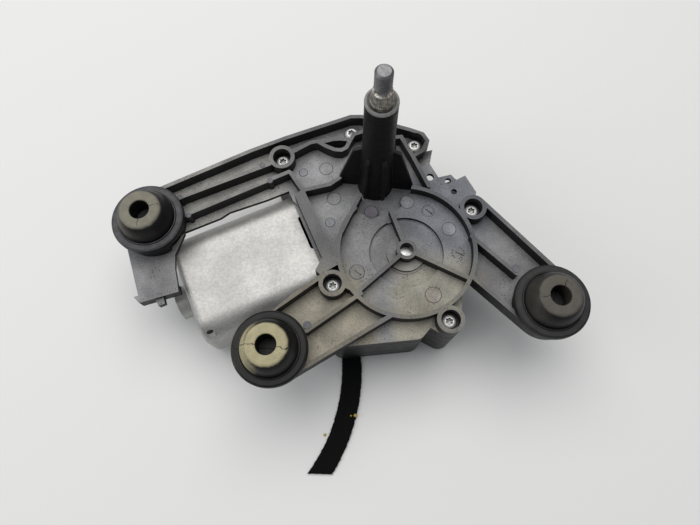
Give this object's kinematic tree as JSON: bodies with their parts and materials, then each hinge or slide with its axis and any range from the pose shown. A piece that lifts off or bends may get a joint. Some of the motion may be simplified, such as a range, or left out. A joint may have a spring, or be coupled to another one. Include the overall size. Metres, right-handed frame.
{
  "type": "rear wiper motor",
  "caption": "Geared electric wiper motor: ribbed three-arm plate on rubber grommets, side motor can, worm and sector drive, tall oscillating spindle.",
  "frame": {"origin": "on the output spindle's axis, in the plane of the flat feet that the motor rests on", "axes": "+Z along the output spindle, away from the feet; +X along the armature, from the can's closed end towards the gearbox; +Y completes the frame"},
  "size_m": [0.2195, 0.1809, 0.148],
  "materials": {
    "black_plastic": "glass-filled moulding, dusty",
    "case_plastic": "glass-filled moulding",
    "seal_rubber": "soft black",
    "zinc_screw": "bright zinc",
    "zinc_steel": "speckled zinc plate",
    "ferrite": "ground ferrite",
    "bronze": "sintered bronze",
    "steel": "turned steel",
    "pale_plastic": "natural acetal",
    "board": "phenolic board",
    "carbon": "carbon brush",
    "grey_cap": "grey pressed ring",
    "brass_pin": "tinned brass",
    "felt": "black felt",
    "grommet_rubber": "aged rubber",
    "lamination": "electrical steel",
    "copper": "copper",
    "spindle_steel": "dark turned steel"
  },
  "bodies": {
    "housing": {"housing_plate": "black_plastic", "gear_case": "case_plastic", "case_seal": "seal_rubber", "housing_screws": "zinc_screw", "motor_can": "zinc_steel", "field_magnets": "ferrite", "tail_bush": "bronze", "front_bearing": "steel", "end_pad": "pale_plastic", "brush_plate": "board", "brushes": "carbon", "brush_springs": "steel", "wheel_axle": "steel", "axle_clip": "steel", "lower_bush": "bronze", "upper_bush": "bronze", "spindle_seal": "seal_rubber", "tube_cap": "grey_cap", "connector_socket": "case_plastic", "connector_pins": "brass_pin", "felt_strip": "felt", "grommet_left": "grommet_rubber", "grommet_right": "grommet_rubber", "grommet_lower": "grommet_rubber"},
    "armature": {"armature_shaft": "steel", "armature_core": "lamination", "armature_windings": "copper", "commutator": "copper"},
    "wheel": {"worm_wheel": "pale_plastic", "crank_pin": "steel"},
    "spindle": {"output_spindle": "spindle_steel", "spindle_pinion": "steel"},
    "link": {"link_plate": "steel", "sector_pin": "steel"},
    "sector": {"sector_rod": "steel"}
  },
  "joints": [
    {"name": "armature_spin", "type": "hinge", "parent": "housing", "child": "armature", "pos_m": [0, -0.01357, 0.021], "axis": [1, 0, 0], "continuous": true},
    {"name": "wheel_spin", "type": "hinge", "parent": "housing", "child": "wheel", "pos_m": [-0.002, -0.045, 0.021], "axis": [0, 0, 1], "continuous": true},
    {"name": "spindle_sweep", "type": "hinge", "parent": "housing", "child": "spindle", "pos_m": [0, 0, 0.05], "axis": [0, 0, 1], "range_deg": [-75, 75]},
    {"name": "link_swing", "type": "hinge", "parent": "housing", "child": "link", "pos_m": [0, 0, 0.014], "axis": [0, 0, 1], "range_deg": [-34, 34]},
    {"name": "sector_swing", "type": "hinge", "parent": "link", "child": "sector", "pos_m": [-0.01917, -0.01444, 0.01], "axis": [0, 0, 1], "range_deg": [-28, 28]}
  ],
  "couplings": [
    {"joint": "wheel_spin", "follows": "armature_spin", "ratio": 0.016949},
    {"joint": "link_swing", "follows": "spindle_sweep", "ratio": 0.447},
    {"joint": "sector_swing", "follows": "spindle_sweep", "ratio": -0.36867}
  ]
}
